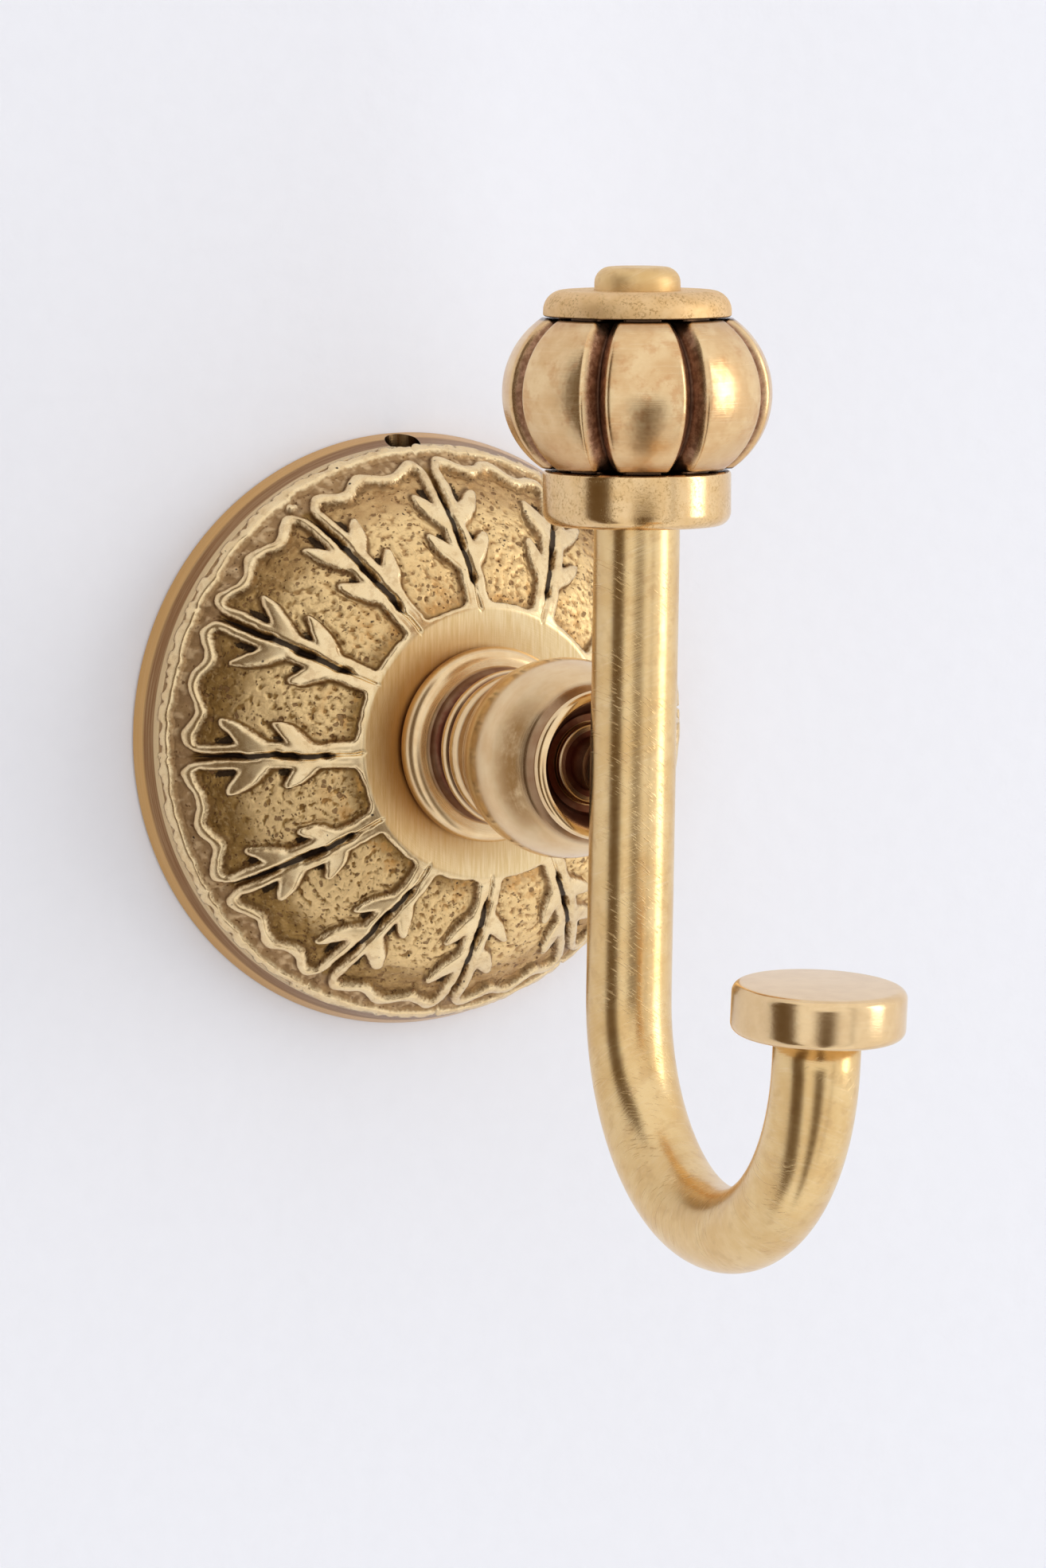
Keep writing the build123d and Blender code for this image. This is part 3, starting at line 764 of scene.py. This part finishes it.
def turned_colour(tree):
    at = place(tree)
    clouds = noise(tree, at, 0.35, 3, 0.6)
    lines = turning_lines(tree, 5, 2.5)
    brass = blend(tree, clouds.rise(0.3, 0.75), (0.84, 0.62, 0.35), (0.76, 0.51, 0.26))
    brass = blend(tree, lines.rise(0.45, 0.8) * 0.35, brass, (0.88, 0.7, 0.44))
    _, _, up, depth = round_axis(tree)
    uneven = noise(tree, at, 0.45, 4, 0.65) + lines * 0.3
    # painted reflection: a brown band on the ball just behind the lip, on its left and right, stands
    # in for a dark thing in the room mirrored there
    ball_reflection_band = depth.rise(ball_end - 5.7, ball_end - 2.0) * depth.rise(ball_end + 0.2, ball_end - 1.4)
    ball_reflection_band = ball_reflection_band * abs(up).rise(1.05, 0.35)
    brass = blend(tree, ball_reflection_band * uneven.rise(0.1, 0.75), brass, (0.33, 0.18, 0.065))
    stain = hollows(tree) * (clouds * 0.5 + 0.72)
    return blend(tree, stain.least(0.97), brass, (0.12, 0.028, 0.014))


def turned_roughness(tree):
    flange = round_axis(tree)[3].rise(cove_start + 0.4, cove_start - 0.2)
    return 0.12 + 0.09 * turning_lines(tree, 4, 2) + 0.2 * hollows(tree) + 0.08 * flange


def turned_relief(tree):
    return turning_lines(tree, 7, 2.5)


turned_brass = finish_of(
    "turned brass", turned_colour, turned_roughness, turned_relief, 0.005 * mm
)
post.data.materials.append(turned_brass)
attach(post, "root")
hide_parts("post")

# Hook: one round brass rod, straight through the finial, set back a little
# under it and bent into a J. It is brushed across by hand, so that slanting
# scratches show along its front.
rod_r = 4.8
reach_out = 61.09
rod_top = 56.3
top_round = 1.8
set_height, set_angle, set_radius = 27.0, radians(1.9), 100.0
bend_radius, bend_height = 22.8, -26.1
tip_lean, tip_straight = radians(5.6), 3.4
spigot_r, spigot_l = 3.0, 3.2

# Points of its middle line: distance from the wall, height, and its radius there.
path = []
for i in range(9):
    a = pi / 2 * i / 8
    path.append((reach_out, rod_top - top_round * (1 - cos(a)), rod_r - top_round * (1 - sin(a))))
straight_end = path[-1][1]
for i in range(1, 15):
    path.append((reach_out, straight_end + (set_height - straight_end) * i / 14, rod_r))
for i in range(1, 9):
    a = set_angle * i / 8
    path.append((reach_out - set_radius * (1 - cos(a)), set_height - set_radius * sin(a), rod_r))
bend_start_z = bend_height + bend_radius * sin(set_angle)
x0, z0 = path[-1][:2]
for i in range(1, 25):
    share = i / 24
    fall = (z0 - bend_start_z) * share
    path.append((x0 - fall * tan(set_angle), z0 - fall, rod_r))
bend_x = path[-1][0] + bend_radius * cos(set_angle)
sweep = pi + set_angle - tip_lean
for i in range(1, 73):
    a = pi - set_angle + sweep * i / 72
    path.append((bend_x + bend_radius * cos(a), bend_height + bend_radius * sin(a), rod_r))
tip_x, tip_z = path[-1][:2]
spigot_end = tip_straight + spigot_l
for run, r in ((tip_straight - 0.02, rod_r), (tip_straight, spigot_r), (spigot_end, spigot_r)):
    path.append((tip_x + run * sin(tip_lean), tip_z + run * cos(tip_lean), r))

line = bpy.data.meshes.new("rod line")
line.from_pydata(
    [(0, -x * mm, z * mm) for x, z, r in path], [(i, i + 1) for i in range(len(path) - 1)], []
)
width = line.attributes.new("width", "FLOAT", "POINT")
width.data.foreach_set("value", [r / rod_r for x, z, r in path])
rod = bpy.data.objects.new("bent_rod", line)
bpy.context.scene.collection.objects.link(rod)

rod_sizes = {"Rod radius": rod_r * mm}
tree, given = begin_tree("drawn rod", rod_sizes)
curve = make(tree, "GeometryNodeMeshToCurve", {}, {"Mesh": given["Geometry"]})
width = make(tree, "GeometryNodeInputNamedAttribute", {"data_type": "FLOAT"}, {"Name": "width"})
run = make(tree, "GeometryNodeSplineParameter", {}, {}, 1)
curve = keep(tree, curve, "run", run)
ring = make(
    tree,
    "GeometryNodeCurvePrimitiveCircle",
    {},
    {"Resolution": 72, "Radius": given["Rod radius"]},
)
spot = make(tree, "GeometryNodeInputPosition", {}, {})
settings = {"data_type": "FLOAT_VECTOR", "domain": "POINT"}
ring = make(
    tree,
    "GeometryNodeStoreNamedAttribute",
    settings,
    {"Geometry": ring, "Name": "section", "Value": spot},
)
values = {"Curve": curve, "Profile Curve": ring, "Scale": width, "Fill Caps": True}
skin = make(tree, "GeometryNodeCurveToMesh", {}, values)
skin = make(tree, "GeometryNodeSetShadeSmooth", {}, {"Geometry": skin, "Shade Smooth": True})
end_tree(tree, skin, given["Material"])


def along_and_across(tree):
    """How far along the rod a point lies, and where in its round section, in millimetres."""
    section = make(tree, "ShaderNodeAttribute", {"attribute_name": "section"}, {}, 1)
    x, y, _ = section.scaled(1 / mm).parts()
    return held(tree, "run") / mm, x, y


def rod_lines(tree, fineness, slant):
    """Brush lines across the rod that slant a little."""
    run, x, y = along_and_across(tree)
    at = vector(tree, x * 0.35, y * 0.35, (run + (x + y) * slant) * fineness)
    return noise(tree, at, 1.0, 3, 0.65)


def hatching(tree):
    """Short slanting file marks, in patches."""
    run, x, _ = along_and_across(tree)
    strokes = noise(tree, vector(tree, (run - x * 0.8) * 4.5, (run + x) * 0.5, 0.0), 1.0, 1)
    return strokes.rise(0.6, 0.7) * noise(tree, place(tree), 0.16, 2).rise(0.42, 0.6)


def rod_colour(tree):
    at = place(tree)
    clouds = noise(tree, at, 0.22, 3, 0.6)
    patches = noise(tree, at, 0.6, 3, 0.6)
    brass = blend(tree, clouds.rise(0.3, 0.7), (0.82, 0.59, 0.29), (0.74, 0.49, 0.21))
    brass = blend(tree, patches.rise(0.5, 0.7) * 0.4, brass, (0.6, 0.37, 0.16))
    return blend(tree, rod_lines(tree, 4, 0.3).rise(0.5, 0.8) * 0.35, brass, (0.88, 0.7, 0.45))


def rod_roughness(tree):
    button = held(tree, "run").rise(3.2 * mm, 2.4 * mm)
    return 0.17 + 0.14 * rod_lines(tree, 3, 0.25) + 0.1 * hatching(tree) + 0.24 * button


def rod_relief(tree):
    return rod_lines(tree, 5, 0.3) + hatching(tree) * 1.5


brushed_rod = finish_of("brushed rod", rod_colour, rod_roughness, rod_relief, 0.012 * mm)
shaped(rod, tree, rod_sizes, brushed_rod)
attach(rod, "root")
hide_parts("hook_rod")

# Finial: a collar, a fluted melon and a cap, turned from brass and pressed on
# the rod, whose rounded end shows as a button on top. The melon's eight
# grooves are milled, and keep their brown patina.
finial_r = 10.5
finial_bore_r = 4.85
collar_bottom, collar_h = 27.5, 6.2
collar_round, collar_edge = 1.6, 0.5
melon_r, melon_arc_r, melon_h = 15.05, 10.1, 17.1
cap_h, cap_round, cap_edge = 2.9, 2.3, 0.15
melon_bottom = collar_bottom + collar_h
melon_mid = melon_bottom + melon_h / 2
cap_bottom = melon_bottom + melon_h


def on_finial(z):
    """Turns an outline's x axis to point up the finial's axis, from a height."""
    upright = Matrix(((0, 1, 0, 0), (0, 0, 1, 0), (1, 0, 0, 0), (0, 0, 0, 1)))
    return Matrix.Translation((0, -reach_out * mm, z * mm)) @ upright


def rounded(start, end, steps):
    """The quarter circle that rounds a turned piece's edge, without its first point."""
    inset = (end[0] - start[0]) * (1 - sqrt(0.5))
    along = start[0] + inset if end[1] > start[1] else end[0] - inset
    return bow(start, (along, max(start[1], end[1]) - inset), end, steps)


outline = [(0.0, finial_bore_r), (0.0, finial_r - collar_round)]
outline += rounded(outline[-1], (collar_round, finial_r), 10)
outline += [(collar_h - collar_edge, finial_r)]
outline += rounded(outline[-1], (collar_h, finial_r - collar_edge), 6)
outline += [(collar_h, finial_bore_r)]
collar = turned("finial_collar_ring", outline, on_finial(collar_bottom), 144)

outline = [(0.0, finial_bore_r), (0.0, finial_r - cap_edge), (cap_edge, finial_r)]
outline += [(cap_h - cap_round, finial_r)]
outline += rounded(outline[-1], (cap_h, finial_r - cap_round), 12)
outline += [(cap_h, finial_bore_r)]
cap = turned("finial_cap_plate", outline, on_finial(cap_bottom), 144)


def finial_lines(tree, fineness):
    """Fine lines round the finial's axis."""
    x, y, z = place(tree).parts()
    out = y + reach_out
    radius = (x * x + out * out).root()
    at = vector(tree, x / radius * 2.2 + radius * fineness, out / radius * 2.2, z * fineness)
    return noise(tree, at, 1.0, 3, 0.65)


def speckle(tree):
    """Small dark specks, in patches."""
    at = place(tree)
    return noise(tree, at, 3.2, 3, 0.7).rise(0.5, 0.64) * noise(tree, at, 0.45, 2).rise(0.35, 0.55)


def smooth_colour(tree):
    clouds = noise(tree, place(tree), 0.4, 3, 0.6)
    brass = blend(tree, clouds.rise(0.3, 0.7), (0.84, 0.59, 0.31), (0.76, 0.5, 0.23))
    brass = blend(tree, speckle(tree) * 0.55, brass, (0.42, 0.26, 0.09))
    z = place(tree).parts()[2]
    # painted shade: the collar's top and the cap's underside, inside the seams by the melon, are
    # painted near black
    seam_shade = abs(z - melon_mid).rise(melon_h / 2 + 0.12, melon_h / 2 + 0.02)
    return blend(tree, seam_shade * 0.95, brass, (0.04, 0.018, 0.01))


def smooth_roughness(tree):
    on_cap = place(tree).parts()[2].rise(cap_bottom - 1, cap_bottom)
    return 0.14 + 0.08 * finial_lines(tree, 3) + 0.16 * speckle(tree) + 0.36 * on_cap


def smooth_relief(tree):
    return finial_lines(tree, 4) + noise(tree, place(tree), 3.5, 3, 0.6) * 0.8


finial_brass = finish_of(
    "smooth brass", smooth_colour, smooth_roughness, smooth_relief, 0.008 * mm
)
for piece, node in ((collar, "finial_collar"), (cap, "finial_cap")):
    piece.data.materials.append(finial_brass)
    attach(piece, "root")
    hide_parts(node)

melon_in = melon_r - melon_arc_r
melon_seam, seat_inset = 0.25, 1.6
melon_end_r = sqrt(melon_arc_r**2 - (melon_h / 2 - melon_seam) ** 2) + melon_in
seat_r = melon_end_r - seat_inset
seat_mid_r = 7.0
outline = [(0.0, finial_bore_r), (0.0, seat_mid_r), (0.0, seat_r), (melon_seam, seat_r)]
outline += [(melon_seam, melon_end_r)]
outline += bow(outline[-1], (melon_h / 2, melon_r), (melon_h - melon_seam, melon_end_r), 44)
outline += [(melon_h - melon_seam, seat_r), (melon_h, seat_r), (melon_h, seat_mid_r)]
outline += [(melon_h, finial_bore_r)]
melon = turned("fluted_melon", outline, on_finial(melon_bottom), 384, 60)

melon_sizes = {
    "Ribs": 8.0,
    "Groove width": 2.9,
    "Groove depth": 1.8,
    "Shoulder": 0.45,
}
tree, given = begin_tree("milled grooves", melon_sizes)
x, y, z = make(tree, "GeometryNodeInputPosition", {}, {}).scaled(1 / mm).parts()
y = y + reach_out
radius = (x * x + y * y).root()
turn = y.maths("ARCTAN2", x) + pi / 2
spacing = make(tree, "ShaderNodeMath", {"operation": "DIVIDE"}, {0: 2 * pi, 1: given["Ribs"]})
nearest = (turn / spacing).maths("ROUND") * spacing
from_groove = abs((turn - nearest).sine() * radius)
slope = given["Groove depth"] / (given["Groove width"] * 0.5)
cut = (given["Groove depth"] - from_groove * slope).melt(0.0, given["Shoulder"])
full = given["Groove depth"].melt(0.0, given["Shoulder"])
level = (z - melon_mid) / melon_arc_r
steep = (1 - level * level).root()
outline_r = melon_in + melon_arc_r * steep
allowed = outline_r - cut / steep.most(0.5)
share = (radius - finial_bore_r) / (outline_r - finial_bore_r)
narrowed = (finial_bore_r + share * (allowed - finial_bore_r)) / radius
spot = vector(tree, x * narrowed, y * narrowed - reach_out, z).scaled(mm)
shape = keep(tree, given["Geometry"], "groove", cut / full)
shape = make(tree, "GeometryNodeSetPosition", {}, {"Geometry": shape, "Position": spot})
end_tree(tree, shape, given["Material"])


def melon_colour(tree):
    at = place(tree)
    clouds = noise(tree, at, 0.3, 3, 0.6)
    lines = finial_lines(tree, 4)
    brass = blend(tree, clouds.rise(0.3, 0.7), (0.84, 0.61, 0.33), (0.72, 0.46, 0.22))
    tinge = noise(tree, at, 0.4, 4, 0.7).rise(0.5, 0.66) * 0.55
    brass = blend(tree, tinge, brass, (0.62, 0.32, 0.13))
    brass = blend(tree, lines.rise(0.5, 0.8) * 0.35, brass, (0.88, 0.7, 0.44))
    z = at.parts()[2]
    from_end = melon_h / 2 - abs(z - melon_mid)
    uneven = noise(tree, at, 1.1, 3, 0.6) * 0.5 + 0.68
    stain = held(tree, "groove").rise(0.02, 0.4).most(from_end.rise(1.6, 0.2) * 0.35)
    # painted reflection: the ribs turn browner towards the bottom, standing in for the collar
    # mirrored in their lower part
    low = (melon_mid - z).rise(0.5, 7.5) * uneven * 0.4
    brass = blend(tree, low, brass, (0.6, 0.34, 0.15))
    mottle = noise(tree, at, 1.4, 4, 0.7).rise(0.4, 0.65)
    patina = blend(tree, mottle, (0.2, 0.085, 0.045), (0.42, 0.22, 0.13))
    colour = blend(tree, (stain * uneven).least(0.94), brass, patina)
    # the apex of each groove keeps its darkest patina, and the rib ends by the collar and cap are
    # painted near black: painted shade in the seams
    apex_and_seam_shade = held(tree, "groove").rise(0.72, 0.98).most(from_end.rise(0.5, 0.28))
    return blend(tree, apex_and_seam_shade * 0.9, colour, (0.05, 0.02, 0.012))


def melon_roughness(tree):
    return 0.19 + 0.12 * finial_lines(tree, 3) + 0.15 * held(tree, "groove").rise(0.1, 0.8)


def melon_relief(tree):
    return finial_lines(tree, 5) + noise(tree, place(tree), 0.5, 2) * 3


melon_brass = finish_of("melon brass", melon_colour, melon_roughness, melon_relief, 0.014 * mm)
shaped(melon, tree, melon_sizes, melon_brass)
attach(melon, "root")
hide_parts("finial_melon")

# Disc on the tip: turned brass with softly rounded edges and a flat top that
# is brushed straight, brazed on the rod's spigot.
disc_r, disc_t, disc_edge = 9.525, 5.5, 1.1
play = 0.05
hole_r, hole_l = spigot_r + play, spigot_l + play
outline = [(hole_l, 0.0), (hole_l, hole_r), (0.0, hole_r), (0.0, disc_r - disc_edge)]
outline += rounded(outline[-1], (disc_edge, disc_r), 10)
outline += [(disc_t - disc_edge, disc_r)]
outline += rounded(outline[-1], (disc_t, disc_r - disc_edge), 10)
outline += [(disc_t, 0.0)]
tip_end = (tip_x + tip_straight * sin(tip_lean), tip_z + tip_straight * cos(tip_lean))
on_tip = Matrix.Translation((0, -tip_end[0] * mm, tip_end[1] * mm))
on_tip = on_tip @ Matrix.Rotation(tip_lean, 4, "X")
on_tip = on_tip @ Matrix(((0, 1, 0, 0), (0, 0, 1, 0), (1, 0, 0, 0), (0, 0, 0, 1)))
disc = turned("tip_disc_button", outline, on_tip, 144)


def disc_lines(tree, fineness):
    """Straight brush lines over the disc's top, level ones on its edge."""
    x, y, z = place(tree).parts()
    at = vector(tree, x * 0.25, y * fineness * 0.4, z * fineness)
    return noise(tree, at, 1.0, 3, 0.65)


def disc_colour(tree):
    clouds = noise(tree, place(tree), 0.4, 3, 0.6)
    brass = blend(tree, clouds.rise(0.3, 0.7), (0.83, 0.6, 0.33), (0.76, 0.53, 0.28))
    return blend(tree, disc_lines(tree, 4).rise(0.5, 0.8) * 0.3, brass, (0.86, 0.68, 0.44))


def disc_roughness(tree):
    return 0.15 + 0.1 * disc_lines(tree, 3)


def disc_relief(tree):
    return disc_lines(tree, 5)


disc_brass = finish_of("disc brass", disc_colour, disc_roughness, disc_relief, 0.01 * mm)
disc.data.materials.append(disc_brass)
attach(disc, "root")
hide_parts("tip_disc")

# The wall is pale, and see-through from behind and where the rosette hides it.
# The room is pale too, with one broad lamp and three dark strips, which the
# brass mirrors. The camera stands to the left of the hook.
wall_mesh = bpy.data.meshes.new("wall")
half_wall = 3.0
behind = 0.0002
wall_mesh.from_pydata(
    [
        (-half_wall, behind, -half_wall),
        (half_wall, behind, -half_wall),
        (half_wall, behind, half_wall),
        (-half_wall, behind, half_wall),
    ],
    [],
    [(0, 1, 2, 3)],
)
wall = bpy.data.objects.new("wall", wall_mesh)
bpy.context.scene.collection.objects.link(wall)
paint = bpy.data.materials.new("wall paint")
paint.use_nodes = True
tree = paint.node_tree
shader = tree.nodes["Principled BSDF"]
shader.inputs["Roughness"].default_value = 0.9
shader.inputs["Specular IOR Level"].default_value = 0.1
uneven = noise(tree, place(tree), 0.35, 3)
tone = blend(tree, uneven, (0.905, 0.91, 0.945), (0.935, 0.94, 0.975))
tree.links.new(tone.socket, shader.inputs["Base Color"])
bumps = make(tree, "ShaderNodeBump", {}, {"Height": uneven, "Strength": 0.4, "Distance": 0.2 * mm})
tree.links.new(bumps.socket, shader.inputs["Normal"])
back_side = make(tree, "ShaderNodeNewGeometry", {}, {}, 6)
x, _, z = place(tree).parts()
behind_hook = (x * x + z * z).root().rise(rosette_r - 1.0, rosette_r - 1.2)
clear = make(tree, "ShaderNodeBsdfTransparent", {}, {})
mixed = make(
    tree,
    "ShaderNodeMixShader",
    {},
    {0: back_side.most(behind_hook), 1: Amount(tree, shader.outputs[0]), 2: clear},
)
tree.links.new(mixed.socket, tree.nodes["Material Output"].inputs["Surface"])
wall_mesh.materials.append(paint)

world = bpy.data.worlds.new("room")
bpy.context.scene.world = world
world.use_nodes = True
tree = world.node_tree
toward = make(tree, "ShaderNodeTexCoord", {}, {}, 0)
x, y, z = toward.parts()
azimuth = x.maths("ARCTAN2", y * -1) * (180 / pi)
level = z.maths("ARCSINE") * (180 / pi)


def dark_strip(middle, half, low, high, soft):
    """Something dark in the room: its middle bearing, half its width and two heights, in degrees."""
    side = (half - abs(azimuth - middle)).rise(-soft, soft)
    return side * (level - low).rise(-soft, soft) * (high - level).rise(-soft, soft)


before = dark_strip(middle=-17.0, half=13.0, low=-78.0, high=-4.5, soft=8.0)
at_left = dark_strip(middle=-79.0, half=21.0, low=-60.0, high=55.0, soft=5.0)
at_right = dark_strip(middle=19.0, half=3.0, low=-60.0, high=40.0, soft=3.0) * 0.45
strips = before.most(at_left).most(at_right)
glow = blend(tree, strips, (1.02, 1.03, 1.07), (0.13, 0.085, 0.04))
tree.links.new(glow.socket, tree.nodes["Background"].inputs["Color"])


def window(name, bearing, height, distance, across, tall, watts):
    """A lamp as broad as a window, at a bearing and a height in degrees, that faces the hook."""
    lamp = bpy.data.lights.new(name, "AREA")
    lamp.shape = "RECTANGLE"
    lamp.size, lamp.size_y = across, tall
    lamp.energy = watts
    holder = bpy.data.objects.new(name, lamp)
    bpy.context.scene.collection.objects.link(holder)
    a, e = radians(bearing), radians(height)
    toward = Vector((sin(a) * cos(e), -cos(a) * cos(e), sin(e)))
    holder.location = toward * distance + Vector((0, -0.05, 0))
    holder.rotation_mode = "QUATERNION"
    holder.rotation_quaternion = toward.to_track_quat("Z", "Y")
    holder.visible_camera = False


window("window", bearing=54, height=9, distance=2.0, across=0.65, tall=1.6, watts=8)

camera = bpy.data.cameras.new("camera")
camera.sensor_width = 36
camera.lens = 225.03
camera.clip_start, camera.clip_end = 0.01, 20
holder = bpy.data.objects.new("camera", camera)
bpy.context.scene.collection.objects.link(holder)
forward = Vector((0.43285, 0.89677, -0.0919)).normalized()
upward = Vector((0.03848, 0.08347, 0.99577))
right = forward.cross(upward).normalized()
upward = right.cross(forward)
turn = Matrix((right, upward, -forward)).transposed()
holder.matrix_world = Matrix.Translation((-0.48522, -1.0373, 0.09912)) @ turn.to_4x4()
bpy.context.scene.camera = holder
bpy.context.scene.view_settings.view_transform = "Standard"
